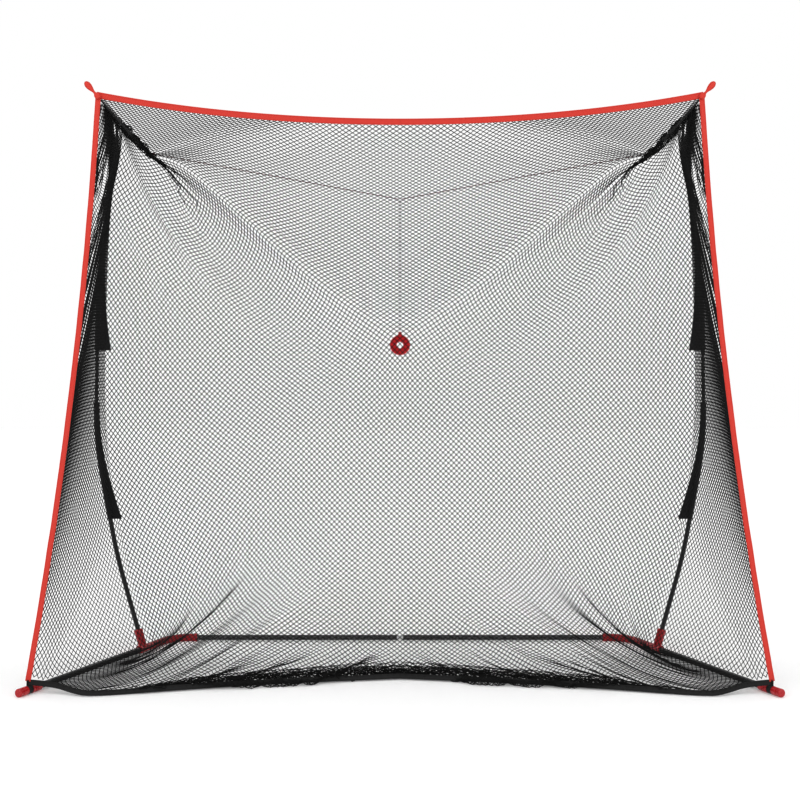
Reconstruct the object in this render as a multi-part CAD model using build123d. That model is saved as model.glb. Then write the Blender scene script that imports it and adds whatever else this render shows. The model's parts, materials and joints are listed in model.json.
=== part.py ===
"""Pitching target net: a bag of diamond netting hung in a U-shaped steel base and two bowed poles.

Millimetres, +Z up. The open mouth faces -Y and the object is the same on both sides of X = 0.
The origin is on the ground, at the middle of the object's width and depth.
Each piece is built on the +X side and mirrored where the object has two of it.
"""
from build123d import *
from math import radians, tan
import os

# ---- driving dimensions ----
FEET_Y = -531.0          # the front feet's plane
BASE_DEPTH = 1050.0      # from the feet back to the rear bar
FOOT_X = 1528.0          # half the width over the foot noses
HUB_X = 1212.0           # half the distance between the pole sockets
HUB_DEPTH = 810.0
AXIS_Z = 17.0            # height of the base tubes' axis above the ground

TUBE_R = 12.5
TUBE_WALL = 1.2
FIT = 0.1                # radial clearance of a tube in its socket
ELBOW_R = 18.0           # outside of the moulded corner fitting
ELBOW_BEND = 130.0
ELBOW_END_X = 1000.0     # where the corner fitting lets the rear bar out
SOCKET_R = 19.5
SOCKET_TOP = 104.0
SOCKET_FLOOR = 38.0
SOCKET_BACK = 36.0       # from the pole's axis to the mouth where the side rail goes in
BAR_IN_ELBOW = 42.0
RAIL_IN_ELBOW = 110.0
COLLAR = 14.0            # length of the raised collar at each mouth of the corner fitting
COLLAR_STEP = 1.6
CENTRE_GAP = 30.0        # bare steel between the two halves of the rear bar
FERRULE_HALF = 90.0

POLE_LEAN = (0.324, 0.13, 1.0)         # direction of a pole where it leaves its socket
POLE_R = {"lower": 10.5, "middle": 8.5, "upper": 6.5}
POLE_WALL = {"lower": 1.9, "middle": 1.9, "upper": 1.5}
POLE_OVERLAP = 60.0
POLE_SOFT_BEND = 0.30    # share of the shorter run that a gentle bend takes up
POLE_JOINT = 0.58        # share of a run at which one pole section ends in the next
TOP_BEND = 240.0
PLUG_FLANGE = 4.0
PLUG_STEM = 22.0
TIP_R = 9.0
TIP_LENGTH = 26.0
TIP_END = 8.0
SHOCK_CORD_R = 2.0

CAP_R = 17.5             # plastic cap on each front foot
CAP_LENGTH = 130.0
CAP_NOSE = 7.0
CAP_SOLID = 21.0         # plastic in front of the rail's end
CAP_GROOVE = (51.0, 78.0, 14.6)        # the strap's groove: its two ends, back from the nose, and its radius
CAP_RINGS = (20.0, 92.0, 104.0)        # grip rings, back from the nose
CAP_RING_DEPTH = 1.1
CAP_RING_W = 3.0
STRAP_W = 24.0
STRAP_T = 2.0

CORNER = (1261.0, 200.0, 2456.0)       # half width, depth and height of the mouth's top corner
BAND_END = (1190.0, 850.0, 2366.0)     # where the corner band ends and the target cord is tied
TRIM_FOOT = (1506.0, 62.0, 60.0)       # lower end of a side trim
WEBBING = 25.0
WEBBING_T = 2.4
TOP_SAG = 95.0
SIDE_BOW = 36.0

LOOP_T = 3.0
HEM_H = 21.0
HEM_T = 3.0
HEM_Z = 0.6
HEM_MIDDLE_DEPTH = 286.0
SIDE_HEM_T = 2.4
SIDE_HEM_H = 18.0
SIDE_HEM_IN = 26.0       # from the rail's axis in to the side hem

NET_T = 1.0              # the netting as a plain sheet
RING_DEPTH = 966.0       # the ring on the target cord, just behind the back net
RING_Z = 2166.0
CORD_R = 1.5
TARGET_Z = 1457.0
TARGET_R = 48.5
TARGET_HOLE_R = 16.5
TARGET_T = 12.0
TARGET_ROUND = 3.0
TARGET_STEP = 1.2
RING_MAJOR = 8.0
LINK_MAJOR = 4.0
LINK_R = 1.25
TAB_W = 16.0
TAB_T = 3.0
TAB_H = 18.0
KNOT_R = 6.0
KNOT_LENGTH = 16.0

SLEEVE_R = 12.6
SLEEVE_T = 1.5
GUSSET_T = 1.8
GUSSET_START = 1.5        # how far the gusset stands out of the sleeve at its narrow end

BUTTON_R = 4.0
BUTTON_HOLE_R = 4.3
BUTTON_ABOVE = 2.6       # how far a locking pin stands out of its tube
BUTTON_ROUND = 2.0
BUTTON_FLANGE_R = 5.6
BUTTON_FLANGE_T = 1.6
CENTRE_BUTTON_X = 60.0
RAIL_BUTTON_BACK = 16.0  # from the pole's axis forward to the rail's locking pin
SPRING_T = 0.7
SPRING_W = 6.0
SPRING_LENGTH = 34.0
SPRING_END = -5.0
RIVET_HEAD_R = 6.0
RIVET_HEAD_T = 1.6
SCREW_R = 2.5
SCREW_HEAD_R = 4.6
SCREW_HEAD_T = 2.4
SCREW_ROUND = 1.4
SCREW_IN = 26.0          # from the fitting's mouth to its screw


# ---- places ----
def at(x, depth, z):
    """A point from its half width, its depth behind the feet and its height."""
    return Vector(x, FEET_Y + depth, z)


HUB = at(HUB_X, HUB_DEPTH, AXIS_Z)
FOOT = at(FOOT_X, 0, AXIS_Z)
RAIL_DIR = (FOOT - HUB).normalized()
LEAN = Vector(*POLE_LEAN).normalized()
REAR_Y = FEET_Y + BASE_DEPTH
BASE_CORNER = HUB + RAIL_DIR * ((REAR_Y - HUB.Y) / RAIL_DIR.Y)


def above(point, height):
    return point + Vector(0, 0, height)


RAIL_BUTTON = HUB + RAIL_DIR * RAIL_BUTTON_BACK
SCREW_FOOT = Vector(ELBOW_END_X + SCREW_IN, REAR_Y, AXIS_Z)


def up_lean(z):
    """The point of the socket's axis at height z."""
    return HUB + LEAN * ((z - AXIS_Z) / LEAN.Z)


POLE_POINTS = [
    up_lean(SOCKET_FLOOR),
    up_lean(450),
    at(1472, 940, 1000),
    at(1476, 985, 1600),
    at(1434, 975, 2150),
    at(1346, 930, 2542),
    at(*CORNER),
]


# ---- building blocks ----
def write(name, *solids):
    """One STEP file per node."""
    part = solids[0] if len(solids) == 1 else Compound(children=list(solids))
    export_step(part, f"parts/{name}.step")


def mirrored(shape):
    return mirror(shape, about=Plane.YZ)


def write_pair(name, shape):
    """The piece on the +X side is the right one, as seen from in front of the mouth."""
    write(f"{name}_right", shape)
    write(f"{name}_left", mirrored(shape))


def rod(start, end, r):
    """A solid round bar between two points."""
    start = Vector(*start)
    end = Vector(*end)
    return extrude(Plane(start, z_dir=end - start) * Circle(r), (end - start).length)


def hole_up(foot, r):
    """The cutter for a hole from a tube's axis up through its wall and whatever is round it."""
    return rod(foot, above(foot, 3 * r + TUBE_R), r)


def above_ground(shape):
    """Moulded feet are flat where they stand."""
    size = 1200
    middle = shape.bounding_box().center()
    return shape - Pos(middle.X, middle.Y, -size / 2) * Box(size, size, size)


def pipe(start, end, r, wall):
    """A round tube between two points."""
    start = Vector(*start)
    end = Vector(*end)
    return extrude(Plane(start, z_dir=end - start) * (Circle(r) - Circle(r - wall)), (end - start).length)


def turn_angle(a, b, c):
    """How far a route turns at its middle point, in degrees."""
    return (b - a).get_angle(c - b)


def soft_radii(points, share=POLE_SOFT_BEND):
    """A radius for each inner corner, so that its arc takes that share of the shorter run."""
    radii = []
    for a, b, c in zip(points, points[1:], points[2:]):
        run = min((b - a).length, (c - b).length)
        radii.append(share * run / tan(radians(turn_angle(a, b, c)) / 2))
    return radii


def bent(points, radii, r, wall=0):
    """A bar, or a tube with this wall, along straight runs and tangent arcs."""
    path = FilletPolyline(*points, radius=radii)
    section = Circle(r) - Circle(r - wall) if wall else Circle(r)
    return sweep(Plane(path @ 0, z_dir=path % 0) * section, path=path)


def between(a, b, share):
    return a + (b - a) * share


def sheet(grid, thickness):
    """A thin closed sheet over a grid of points, made of flat triangles."""
    rows = len(grid)
    cols = len(grid[0])

    def normal(i, j):
        along = grid[min(i + 1, rows - 1)][j] - grid[max(i - 1, 0)][j]
        across = grid[i][min(j + 1, cols - 1)] - grid[i][max(j - 1, 0)]
        return along.cross(across).normalized()

    front = [[grid[i][j] + normal(i, j) * (thickness / 2) for j in range(cols)] for i in range(rows)]
    back = [[grid[i][j] - normal(i, j) * (thickness / 2) for j in range(cols)] for i in range(rows)]
    triangles = []

    def quad(a, b, c, d):
        triangles.extend([(a, b, c), (a, c, d)])

    for i in range(rows - 1):
        for j in range(cols - 1):
            quad(front[i][j], front[i + 1][j], front[i + 1][j + 1], front[i][j + 1])
            quad(back[i][j], back[i][j + 1], back[i + 1][j + 1], back[i + 1][j])
    for i in range(rows - 1):
        quad(front[i][0], back[i][0], back[i + 1][0], front[i + 1][0])
        quad(front[i][-1], front[i + 1][-1], back[i + 1][-1], back[i][-1])
    for j in range(cols - 1):
        quad(front[0][j], front[0][j + 1], back[0][j + 1], back[0][j])
        quad(front[-1][j], back[-1][j], back[-1][j + 1], front[-1][j + 1])
    faces = [Face(Wire.make_polygon(t, close=True)) for t in triangles]
    return Solid(Shell(faces))


# ---- base frame ----
def rear_bar():
    """One half of the rear bar, from the bare ferrule into the corner fitting."""
    start = (CENTRE_GAP / 2, REAR_Y, AXIS_Z)
    bar = pipe(start, (ELBOW_END_X + BAR_IN_ELBOW, REAR_Y, AXIS_Z), TUBE_R, TUBE_WALL)
    return bar - hole_up(Vector(CENTRE_BUTTON_X, REAR_Y, AXIS_Z), BUTTON_HOLE_R)


def centre_ferrule():
    """Steel tube that joins the halves of the rear bar and shows in the gap between them."""
    r = TUBE_R - TUBE_WALL - FIT
    tube = pipe((-FERRULE_HALF, REAR_Y, AXIS_Z), (FERRULE_HALF, REAR_Y, AXIS_Z), r, TUBE_WALL)
    for x in (-CENTRE_BUTTON_X, CENTRE_BUTTON_X):
        tube -= hole_up(Vector(x, REAR_Y, AXIS_Z), BUTTON_HOLE_R)
    return tube


def centre_rivet():
    """Rivet that fixes the ferrule in the left half of the bar."""
    foot = Vector(-CENTRE_BUTTON_X, REAR_Y, AXIS_Z)
    bore = TUBE_R - 2 * TUBE_WALL - FIT
    shank = rod(above(foot, bore), above(foot, TUBE_R), BUTTON_HOLE_R - FIT)
    return shank + rod(above(foot, TUBE_R), above(foot, TUBE_R + RIVET_HEAD_T), RIVET_HEAD_R)


def corner_fitting():
    """Moulded elbow from a side rail round to the rear bar, with the pole's socket on it."""
    rail_mouth = HUB + RAIL_DIR * SOCKET_BACK
    bar_mouth = Vector(ELBOW_END_X, REAR_Y, AXIS_Z)
    elbow = bent([rail_mouth, BASE_CORNER, bar_mouth], [ELBOW_BEND], ELBOW_R)
    elbow += rod(HUB, up_lean(SOCKET_TOP), SOCKET_R)
    for mouth, inward in ((rail_mouth, RAIL_DIR * -1), (bar_mouth, Vector(1, 0, 0))):
        elbow += rod(mouth, mouth + inward * COLLAR, ELBOW_R + COLLAR_STEP)
    elbow += rod(up_lean(SOCKET_TOP - COLLAR), up_lean(SOCKET_TOP), SOCKET_R + COLLAR_STEP)
    elbow -= rod(rail_mouth, HUB - RAIL_DIR * (RAIL_IN_ELBOW + 4), TUBE_R + FIT)
    elbow -= rod(bar_mouth, bar_mouth + Vector(BAR_IN_ELBOW + 3, 0, 0), TUBE_R + FIT)
    elbow -= rod(up_lean(SOCKET_FLOOR), up_lean(SOCKET_TOP + COLLAR), POLE_R["lower"] + FIT)
    elbow -= hole_up(RAIL_BUTTON, BUTTON_HOLE_R)
    elbow -= hole_up(SCREW_FOOT, SCREW_R + FIT)
    return above_ground(elbow)


def fitting_screw():
    """Screw that holds the rear bar in the corner fitting, seated on the fitting's wall."""
    shank = rod(above(SCREW_FOOT, TUBE_R + FIT), above(SCREW_FOOT, ELBOW_R), SCREW_R)
    head = rod(above(SCREW_FOOT, ELBOW_R), above(SCREW_FOOT, ELBOW_R + SCREW_HEAD_T), SCREW_HEAD_R)
    return shank + fillet(head.edges().group_by(Axis.Z)[-1], SCREW_ROUND)


def side_rail():
    """Tube from the corner fitting forward to the foot."""
    rail = pipe(HUB - RAIL_DIR * RAIL_IN_ELBOW, FOOT - RAIL_DIR * (CAP_SOLID + 1), TUBE_R, TUBE_WALL)
    return rail - hole_up(RAIL_BUTTON, BUTTON_HOLE_R)


def snap_button(foot, flange_z, top_z):
    """Domed locking pin with a flange that keeps it inside the tube."""
    flange = rod(above(foot, flange_z - BUTTON_FLANGE_T), above(foot, flange_z), BUTTON_FLANGE_R)
    pin = rod(above(foot, flange_z), above(foot, top_z), BUTTON_R)
    return flange + fillet(pin.edges().group_by(Axis.Z)[-1], BUTTON_ROUND)


def leaf_spring(foot, along, low_z, high_z):
    """V of spring steel under a snap button, with its fold along the tube."""
    plane = Plane(foot, x_dir=along, z_dir=along.cross(Vector(0, 0, 1)))
    fold_z = (high_z + low_z) / 2
    outline = Polyline((SPRING_END, high_z), (SPRING_LENGTH, fold_z), (SPRING_END, low_z),
                       (SPRING_END, low_z + SPRING_T), (SPRING_LENGTH - 4 * SPRING_T, fold_z),
                       (SPRING_END, high_z - SPRING_T), close=True)
    return extrude(plane * make_face(outline), SPRING_W / 2, both=True)


def foot_cap():
    """Plastic cap on the end of a side rail, with a groove for the net's foot strap."""
    back = FOOT - RAIL_DIR * CAP_LENGTH
    body = rod(back, FOOT, CAP_R)
    body = fillet(body.faces().sort_by(lambda f: (f.center() - FOOT).length)[0].edges(), CAP_NOSE)
    groove_end, groove_start, groove_r = CAP_GROOVE
    cuts = [(groove_start, groove_end, groove_r)]
    cuts += [(distance, distance + CAP_RING_W, CAP_R - CAP_RING_DEPTH) for distance in CAP_RINGS]
    for near, far, r in cuts:
        start = FOOT - RAIL_DIR * near
        end = FOOT - RAIL_DIR * far
        body -= rod(start, end, 2 * CAP_R) - rod(start, end, r)
    return above_ground(body - rod(back, FOOT - RAIL_DIR * CAP_SOLID, TUBE_R + FIT))


def foot_strap():
    """Loop of black webbing in the foot cap's groove, with a tab up to the side trim."""
    groove_end, groove_start, groove_r = CAP_GROOVE
    middle = FOOT - RAIL_DIR * ((groove_end + groove_start) / 2)
    loop_r = groove_r + STRAP_T + 2 * FIT
    loop = pipe(middle - RAIL_DIR * (STRAP_W / 2), middle + RAIL_DIR * (STRAP_W / 2), loop_r, STRAP_T)
    foot = above(middle, loop_r - STRAP_T / 2)
    height = TRIM_FOOT[2] - 2 * STRAP_T - foot.Z
    return loop + extrude(Plane(foot, x_dir=RAIL_DIR) * Rectangle(STRAP_W - 2, STRAP_T), height)


# ---- poles ----
def pole_sections():
    """Three nested tubes, each with its own bends, thickest at the bottom."""
    p = POLE_POINTS
    low_joint = between(p[1], p[2], POLE_JOINT)
    high_joint = between(p[3], p[4], POLE_JOINT)
    down = (p[1] - p[2]).normalized() * POLE_OVERLAP
    down_high = (p[3] - p[4]).normalized() * POLE_OVERLAP
    routes = {
        "lower": [p[0] + LEAN * PLUG_FLANGE, p[1], low_joint],
        "middle": [low_joint + down, p[2], p[3], high_joint],
        "upper": [high_joint + down_high, p[4], p[5], p[6]],
    }
    bends = soft_radii(p)[:-1] + [TOP_BEND]
    radii = {"lower": bends[:1], "middle": bends[1:3], "upper": bends[3:]}
    sections = {k: bent(routes[k], radii[k], POLE_R[k], POLE_WALL[k]) for k in routes}
    return sections, bends


def pole_plug():
    """Plug in the foot of a pole: the pole stands on its flange."""
    foot = POLE_POINTS[0]
    stem_r = POLE_R["lower"] - POLE_WALL["lower"] - FIT
    flange_top = foot + LEAN * PLUG_FLANGE
    return rod(foot, flange_top, POLE_R["lower"]) + rod(flange_top, flange_top + LEAN * PLUG_STEM, stem_r)


def pole_tip():
    """Round end cap on the thin end of a pole, which sits in the net's corner."""
    tip = POLE_POINTS[-1]
    d = (tip - POLE_POINTS[-2]).normalized()
    end = tip + d * TIP_END
    cap = rod(tip - d * TIP_LENGTH, end, TIP_R)
    cap = fillet(cap.faces().sort_by(lambda f: (f.center() - end).length)[0].edges(), TIP_R * 2 / 3)
    return cap - rod(tip - d * (TIP_LENGTH + 1), tip, POLE_R["upper"] + FIT)


def shock_cord(bends):
    """Elastic cord through the three sections, from the plug to the end cap."""
    p = POLE_POINTS
    return bent([p[0] + LEAN * (PLUG_FLANGE + PLUG_STEM)] + p[1:], bends, SHOCK_CORD_R)


def sleeve(corner, radius, low_z, high_z, wide):
    """Fabric sleeve round a bend of a pole, with a gusset that widens towards its lower end."""
    before = POLE_POINTS[corner - 1]
    bend = POLE_POINTS[corner]
    after = POLE_POINTS[corner + 1]
    low = between(before, bend, (low_z - before.Z) / (bend.Z - before.Z))
    high = between(bend, after, (high_z - bend.Z) / (after.Z - bend.Z))
    tube = bent([low, bend, high], [radius], SLEEVE_R, SLEEVE_T)
    path = FilletPolyline(low, bend, high, radius=[radius])
    inward = Vector(-1, 0.1, 0).normalized()
    steps = 8
    rows = []
    for i in range(steps + 1):
        point = path @ (i / steps)
        reach = SLEEVE_R + GUSSET_START + wide * (1 - i / steps) ** 2
        rows.append([point + inward * (SLEEVE_R - 0.7), point + inward * reach])
    return tube + sheet(rows, GUSSET_T)


# ---- webbing ----
def arc_band(start, end, bow_dir, bow, width, thickness):
    """A flat band along an arc, in the plane of the arc."""
    start = Vector(*start)
    end = Vector(*end)
    middle = between(start, end, 0.5) + bow_dir.normalized() * bow
    plane = Plane(start, x_dir=end - start, z_dir=(end - start).cross(bow_dir))

    def local(point, shift):
        p = plane.to_local_coords(point)
        return (p.X, p.Y + shift)

    half = width / 2
    outer = ThreePointArc(local(start, half), local(middle, half), local(end, half))
    inner = ThreePointArc(local(start, -half), local(middle, -half), local(end, -half))
    ends = [Line(outer @ 0, inner @ 0), Line(outer @ 1, inner @ 1)]
    return extrude(plane * make_face([outer, inner] + ends), thickness / 2, both=True)


def top_trim():
    """Red webbing along the top of the mouth, sagging between the poles' tips."""
    x, depth, z = CORNER
    inset = 20
    return arc_band(at(-x + inset, depth, z - 2), at(x - inset, depth, z - 2),
                    Vector(0, 0.3, -1), TOP_SAG, WEBBING, WEBBING_T)


def side_trim():
    """Red webbing up the side of the mouth, bowed inward and back by the net's pull."""
    x, depth, z = CORNER
    top = at(x, depth - 8, z - 24)
    return arc_band(at(*TRIM_FOOT), top, Vector(-1, 0.6, 0), SIDE_BOW, WEBBING, WEBBING_T)


def corner_loop():
    """Red webbing pull loop at the top corner, pointing up and out."""
    x, depth, z = CORNER
    plane = Plane(at(x + 6, depth - 14, z + 6), x_dir=(1, 0, 0.95), z_dir=(0, -1, 0))
    outline = Polyline((-20, -9), (0, -7), (30, -15), (48, -14), (60, 0),
                       (48, 14), (30, 15), (0, 7), (-20, 9), close=True)
    loop = extrude(plane * make_face(outline), LOOP_T, both=True)
    return fillet(loop.edges().filter_by(Axis.Y), 2)


def corner_band():
    """Black seam webbing from the mouth's top corner back to the net's rear corner."""
    x, depth, z = CORNER
    start = at(x - 22, depth + 14, z - 34)
    end = at(*BAND_END)
    plane = Plane(start, x_dir=(-1, 0, 1), z_dir=end - start)
    return extrude(plane * Rectangle(WEBBING, WEBBING_T), (end - start).length)


# ---- hems ----
HEM_HALF = [(1462, 60), (1400, 66), (1320, 34), (1240, 8), (920, 96), (590, 180), (240, 247)]


def front_hem():
    """Black webbing hem on the ground across the mouth, drawn back in the middle."""
    right = [Vector(x, FEET_Y + depth) for x, depth in HEM_HALF]
    middle = [Vector(0, FEET_Y + HEM_MIDDLE_DEPTH)]
    left = [Vector(-p.X, p.Y) for p in reversed(right)]
    line = FilletPolyline(*(right + middle + left), radius=soft_radii(right + middle + left, 0.4))
    strip = Plane(line @ 0, z_dir=line % 0) * Rectangle(HEM_H, HEM_T, rotation=90)
    hem = sweep(strip, path=line)
    return Pos(0, 0, HEM_Z + HEM_H / 2 - hem.bounding_box().center().Z) * hem


def side_hem():
    """Black binding along the foot of the side net, inside the rail."""
    inside = RAIL_DIR.cross(Vector(0, 0, 1)).normalized()
    if inside.X > 0:
        inside = inside * -1
    start = above(FOOT - RAIL_DIR * (CAP_LENGTH + 20) + inside * SIDE_HEM_IN, 5)
    end = above(HUB + RAIL_DIR * 60 + inside * SIDE_HEM_IN, 5)
    plane = Plane(start, x_dir=inside, z_dir=end - start)
    return extrude(plane * Rectangle(SIDE_HEM_T, SIDE_HEM_H), (end - start).length)


# ---- netting ----
def along_points(points, share):
    """The point at this share of a polyline's length."""
    lengths = [(b - a).length for a, b in zip(points, points[1:])]
    left = share * sum(lengths)
    for a, b, length in zip(points, points[1:], lengths):
        if left <= length:
            return between(a, b, left / length)
        left -= length
    return points[-1]


SEAM_IN = Vector(-26, -30, 0)          # the net's rear seam stays this far inside and in front of the pole
REAR_SEAM = [at(*BAND_END) + Vector(-4, -2, -16), at(1345, 905, 2290)] + [
    POLE_POINTS[4] + SEAM_IN, POLE_POINTS[3] + SEAM_IN, POLE_POINTS[2] + SEAM_IN,
    POLE_POINTS[1] + SEAM_IN, at(HUB_X - 46, HUB_DEPTH - 40, 45)]
RAIL_EDGE = at(1410, 108, 32)
BACK_EDGE = REAR_SEAM + [RAIL_EDGE]
BACK_CENTRE = [at(0, depth, z) for depth, z in
               ((680, 2092), (800, 1975), (885, 1830), (928, 1650), (942, 1457), (946, 1270), (938, 1070),
                (912, 860), (860, 640), (770, 440), (660, 260), (540, 120), (430, 60), (310, 32))]


def back_point(u, v):
    """The back net: down from the roof in one curve, and swept forward to the hem."""
    side = along_points(BACK_EDGE, v)
    centre = along_points(BACK_CENTRE, v)
    pull = abs(u) ** (1.0 + 1.6 * min(1, 3 * v) * (1 - 0.55 * max(0, v - 0.7) / 0.3))
    x = side.X * u
    return Vector(x, centre.Y + (side.Y - centre.Y) * pull, centre.Z + (side.Z - centre.Z) * pull)


def net_back():
    rows = [[back_point(-1 + j / 7, i / 14) for j in range(15)] for i in range(15)]
    return sheet(rows, NET_T)


def roof_point(u, v):
    """The roof net: from under the top trim back and down to where it steepens into the back net."""
    x, depth, z = CORNER
    front = Vector((x - 50) * u, FEET_Y + depth + 18 + 24 * (1 - u * u), z - 24 - TOP_SAG * (1 - u * u))
    end_x, end_depth, end_z = BAND_END
    fold = BACK_CENTRE[0] + Vector(0, -6, 8)
    rear = between(fold, at(end_x - 26, end_depth, end_z + 4), abs(u))
    return between(front, Vector((end_x - 26) * u, rear.Y, rear.Z), v)


def net_roof():
    rows = [[roof_point(-1 + j / 6, i / 6) for j in range(13)] for i in range(7)]
    return sheet(rows, NET_T)


def side_front(t):
    """The side net's front edge, behind the side trim."""
    x, depth, z = CORNER
    low = at(*TRIM_FOOT)
    high = at(x, depth - 8, z - 40)
    bow = Vector(-1, 0.6, 0).normalized() * (SIDE_BOW * 4 * t * (1 - t))
    return between(low, high, t) + bow + Vector(-3, 8, 0)


def side_point(s, t):
    """The side net: from the side trim back to the rear seam."""
    seam = list(reversed(REAR_SEAM))
    rear = along_points(seam, t) + Vector(8, -16, 0)
    low = between(at(*TRIM_FOOT) + Vector(-32, 40, 0), seam[0] + Vector(16, -16, 14), s)
    point = between(side_front(t), rear, s)
    settle = max(0, 1 - 4 * t)
    return between(point, low, settle * s * (1 - s) * 1.2)


def net_side():
    rows = [[side_point(j / 6, i / 12) for j in range(7)] for i in range(13)]
    return sheet(rows, NET_T)


# ---- target ----
RING = at(0, RING_DEPTH, RING_Z)
PIVOT = RING - Vector(0, 0, RING_MAJOR)
LINK_BOTTOM = PIVOT - Vector(0, 0, LINK_MAJOR + LINK_R)


def target_cord_half():
    """Taut cord from the net's rear corner to the ring."""
    start = at(*BAND_END) + Vector(-6, 14, 0)
    towards = (start - RING).normalized()
    return rod(RING + towards * (RING_MAJOR + CORD_R), start, CORD_R)


def cord_knot():
    """Knot that ties the target cord to the end of the roof seam."""
    centre = at(*BAND_END) + Vector(-6, 14, 0)
    towards = (centre - RING).normalized()
    return rod(centre, centre + towards * KNOT_LENGTH, KNOT_R)


def torus_at(centre, axis, major, minor):
    return Plane(centre, z_dir=axis) * Torus(major, minor)


def target_disc():
    """Flat ring with rounded edges and a shallow step round its hole."""
    plane = Plane(at(0, RING_DEPTH + TARGET_T / 2, TARGET_Z), z_dir=(0, -1, 0))
    disc = plane * extrude(Circle(TARGET_R) - Circle(TARGET_HOLE_R), TARGET_T)
    disc = fillet(disc.edges(), TARGET_ROUND)
    groove = Circle(TARGET_R - 3 * TARGET_ROUND) - Circle(TARGET_HOLE_R + 2 * TARGET_ROUND)
    return disc - plane * (Pos(0, 0, TARGET_T - TARGET_STEP) * extrude(groove, TARGET_T))


def target_tab():
    """Small webbing tab that hangs the disc on its cord."""
    foot = at(0, RING_DEPTH, TARGET_Z + TARGET_R - TARGET_ROUND)
    return extrude(Plane(foot) * Rectangle(TAB_W, TAB_T), TAB_H) - target_disc()


def target_drop_cord():
    """Cord from the link on the ring down to the target's tab."""
    bottom = at(0, RING_DEPTH, TARGET_Z + TARGET_R - TARGET_ROUND + TAB_H)
    return rod(LINK_BOTTOM, bottom, LINK_R)


def main():
    os.makedirs("parts", exist_ok=True)
    write_pair("rear_bar", rear_bar())
    write("centre_ferrule", centre_ferrule())
    write("centre_rivet", centre_rivet())
    write_pair("corner_fitting", corner_fitting())
    screw = fitting_screw()
    write("fitting_screws", screw, mirrored(screw))
    write_pair("side_rail", side_rail())
    write_pair("foot_cap", foot_cap())
    write_pair("foot_strap", foot_strap())

    centre = Vector(CENTRE_BUTTON_X, REAR_Y, AXIS_Z)
    write("centre_button", snap_button(centre, 8.0, TUBE_R + BUTTON_ABOVE))
    write("centre_spring", leaf_spring(centre, Vector(1, 0, 0), -8.9, 6.3))
    write_pair("rail_button", snap_button(RAIL_BUTTON, 9.2, ELBOW_R + BUTTON_ABOVE))
    write_pair("rail_spring", leaf_spring(RAIL_BUTTON, RAIL_DIR, -10.4, 7.5))

    sections, bends = pole_sections()
    print("pole bend radii", [round(r) for r in bends])
    for name, section in sections.items():
        write_pair(f"pole_{name}", section)
    write_pair("pole_plug", pole_plug())
    write_pair("pole_tip", pole_tip())
    write_pair("shock_cord", shock_cord(bends))
    write_pair("sleeve_upper", sleeve(3, bends[2], 1432, 2020, 52))
    write_pair("sleeve_lower", sleeve(2, bends[1], 620, 1180, 40))

    write("top_trim", top_trim())
    write_pair("side_trim", side_trim())
    write_pair("corner_loop", corner_loop())
    write_pair("corner_band", corner_band())
    write("front_hem", front_hem())
    write_pair("side_hem", side_hem())

    write("net_back", net_back())
    write("net_roof", net_roof())
    write_pair("net_side", net_side())

    write_pair("target_cord", target_cord_half())
    write_pair("cord_knot", cord_knot())
    write("cord_ring", torus_at(RING, (0, 1, 0), RING_MAJOR, CORD_R))
    write("drop_link", torus_at(PIVOT, (1, 0, 0), LINK_MAJOR, LINK_R))
    write("drop_cord", target_drop_cord())
    write("target_tab", target_tab())
    write("target_disc", target_disc())


main()
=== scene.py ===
"""Pitching target net: the looks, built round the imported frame.

Metres, +Z up, the mouth faces -Y. Places are given as half width, depth behind the feet, and height.
The netting is modelled thread by thread: diamond lattices that settle under gravity between the edges they
are sewn to, as threads that are hard to stretch. Most pieces are made once, for the right side, and mirrored.
"""
import json
import math

import bpy
import numpy as np
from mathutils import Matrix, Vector


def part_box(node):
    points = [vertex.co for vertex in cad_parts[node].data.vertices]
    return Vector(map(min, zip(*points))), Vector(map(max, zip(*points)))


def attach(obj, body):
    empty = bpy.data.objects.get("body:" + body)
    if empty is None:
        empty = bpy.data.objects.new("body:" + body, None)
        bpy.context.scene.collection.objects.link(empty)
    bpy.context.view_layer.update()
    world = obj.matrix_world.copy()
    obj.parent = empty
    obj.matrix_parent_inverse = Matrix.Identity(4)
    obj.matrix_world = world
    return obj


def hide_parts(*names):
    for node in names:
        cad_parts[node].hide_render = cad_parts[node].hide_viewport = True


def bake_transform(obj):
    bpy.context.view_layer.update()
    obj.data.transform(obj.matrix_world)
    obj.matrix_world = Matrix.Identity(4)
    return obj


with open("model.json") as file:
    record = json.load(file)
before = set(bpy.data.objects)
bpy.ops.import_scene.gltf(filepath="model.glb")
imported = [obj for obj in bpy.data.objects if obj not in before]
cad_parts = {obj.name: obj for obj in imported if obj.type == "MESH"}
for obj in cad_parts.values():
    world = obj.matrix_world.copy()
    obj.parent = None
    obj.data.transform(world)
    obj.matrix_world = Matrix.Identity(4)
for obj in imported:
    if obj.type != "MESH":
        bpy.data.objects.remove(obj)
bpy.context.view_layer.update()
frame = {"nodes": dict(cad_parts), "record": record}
NODES = frame["nodes"]

# ---- places, as in the frame ----
RING_DEPTH = 0.966
RING = sum(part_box("cord_ring"), Vector()) / 2
FEET_Y = RING.y - RING_DEPTH


def at(x, depth, z):
    return np.array([x, FEET_Y + depth, z])


CORNER = at(1.261, 0.200, 2.456)
BAND_END = at(1.190, 0.850, 2.366)
TRIM_FOOT = at(1.506, 0.062, 0.060)
HEM_CENTRE_DEPTH = 0.286
MIRROR = np.array([-1.0, 1.0, 1.0])
SIDES = {"right": np.array([1.0, 1.0, 1.0]), "left": MIRROR}

POLE = [at(1.219, 0.813, 0.038), at(1.352, 0.866, 0.450), at(1.472, 0.940, 1.000), at(1.476, 0.985, 1.600),
        at(1.434, 0.975, 2.150), at(1.346, 0.930, 2.542), CORNER]

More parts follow.
